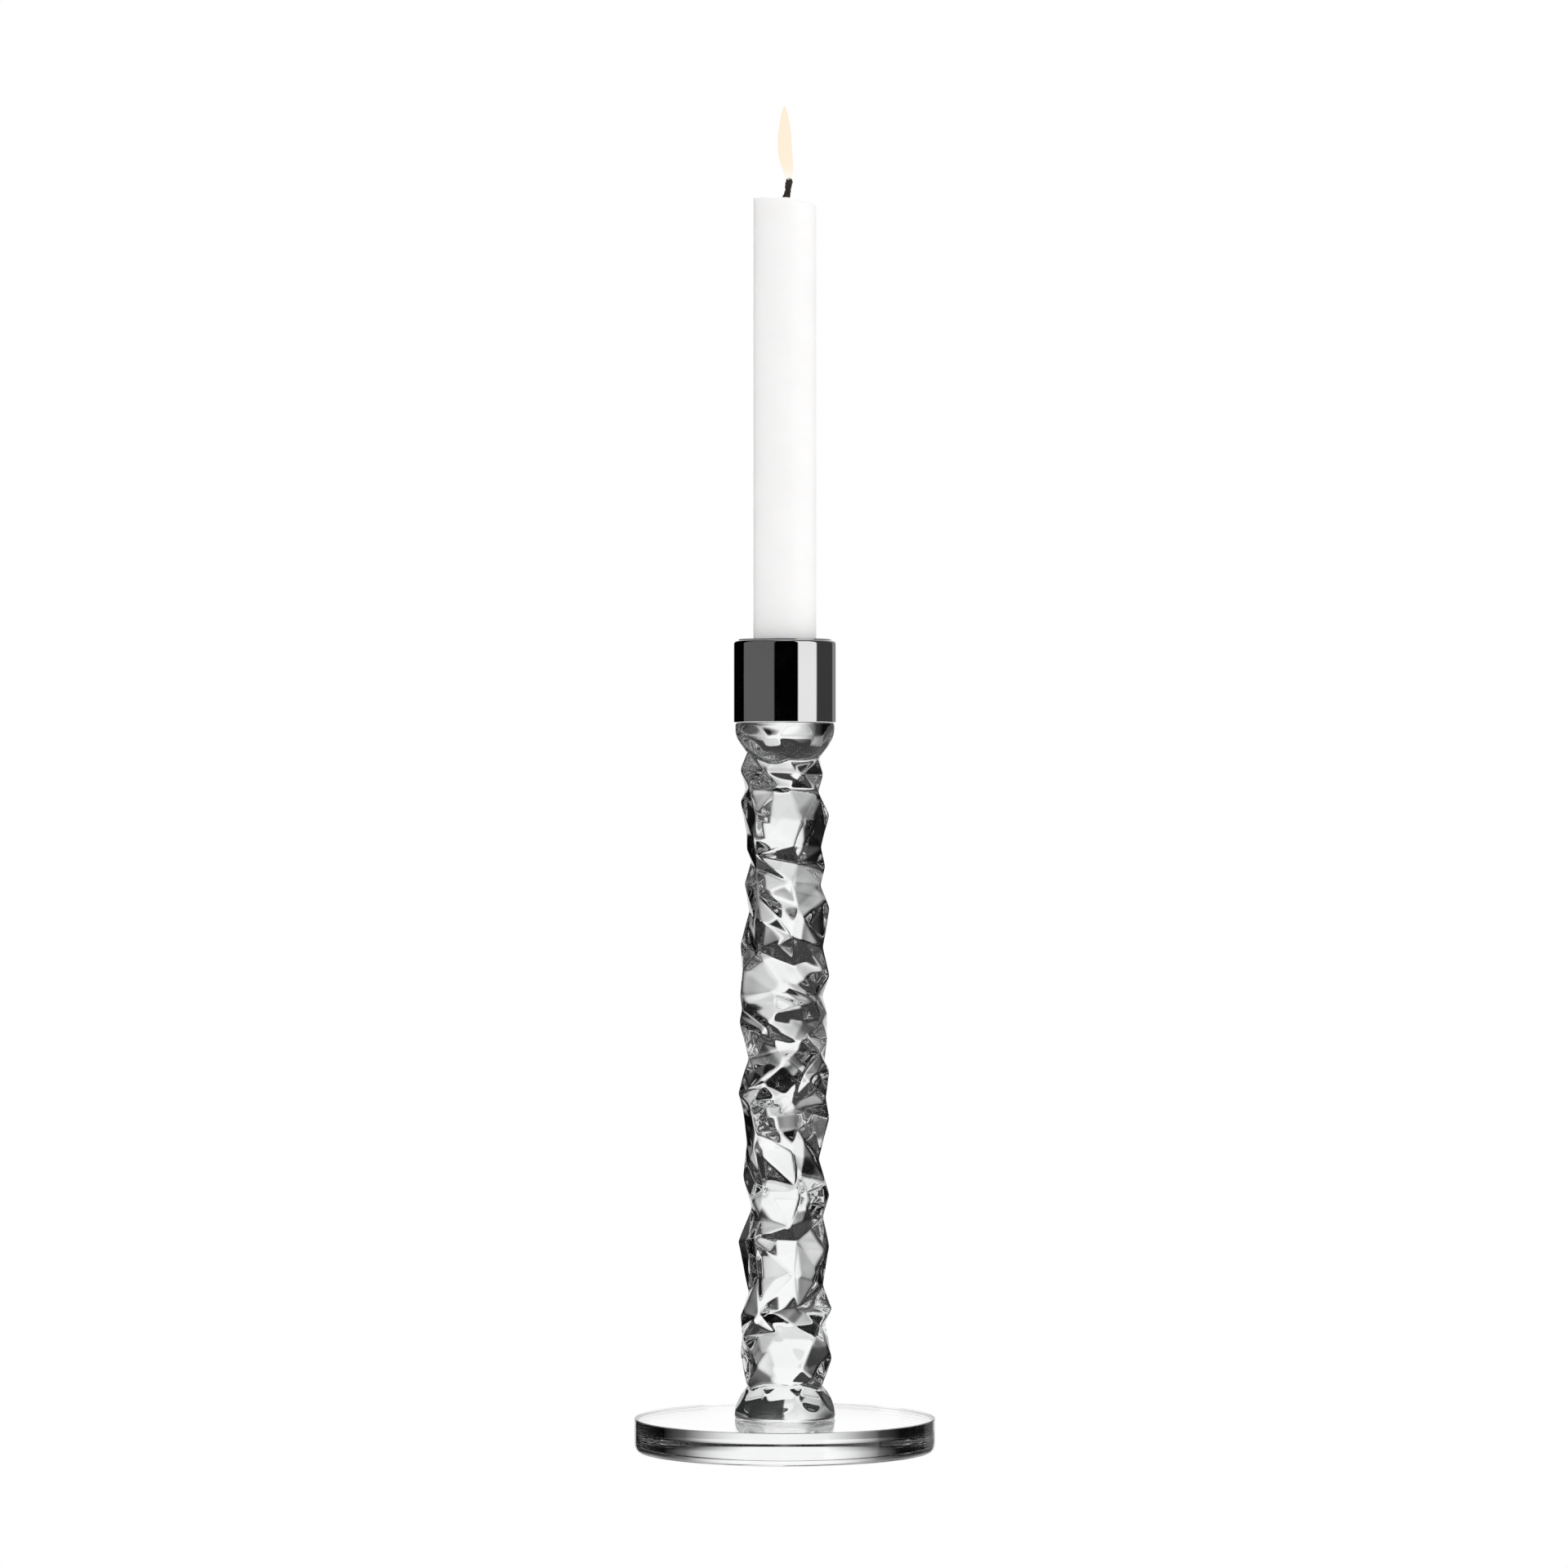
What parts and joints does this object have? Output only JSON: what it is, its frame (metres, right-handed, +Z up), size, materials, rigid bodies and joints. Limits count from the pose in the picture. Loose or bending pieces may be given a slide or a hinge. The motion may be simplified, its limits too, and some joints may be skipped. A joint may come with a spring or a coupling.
{
  "type": "glass candlestick",
  "caption": "Clear glass candlestick with a round foot plate, a chiselled stem and a polished metal cup, holding a straight burnt candle that lifts out.",
  "frame": {"origin": "centre of the foot plate's underside, on the surface that the candlestick stands on", "axes": "+Z up along the stem and candle, -Y to the front, +X to the right seen from the front"},
  "size_m": [0.11, 0.11, 0.4679],
  "materials": {
    "base_glass": "polished clear",
    "stem_glass": "polished clear, chiselled",
    "clear_adhesive": "cured clear film",
    "polished_metal": "mirror polished",
    "liner_metal": "turned satin",
    "wax": "satin wax",
    "wick_cotton": "braided cotton, charred tip"
  },
  "bodies": {
    "candlestick": {"base_disc": "base_glass", "foot_bond": "clear_adhesive", "stem": "stem_glass", "cup_bond": "clear_adhesive", "candle_cup": "polished_metal", "cup_liner": "liner_metal"},
    "candle": {"candle": "wax", "wick": "wick_cotton"}
  },
  "joints": [
    {"name": "candle_lift", "type": "slide", "parent": "candlestick", "child": "candle", "axis": [0, 0, 1], "range_m": [0, 0.04]}
  ]
}
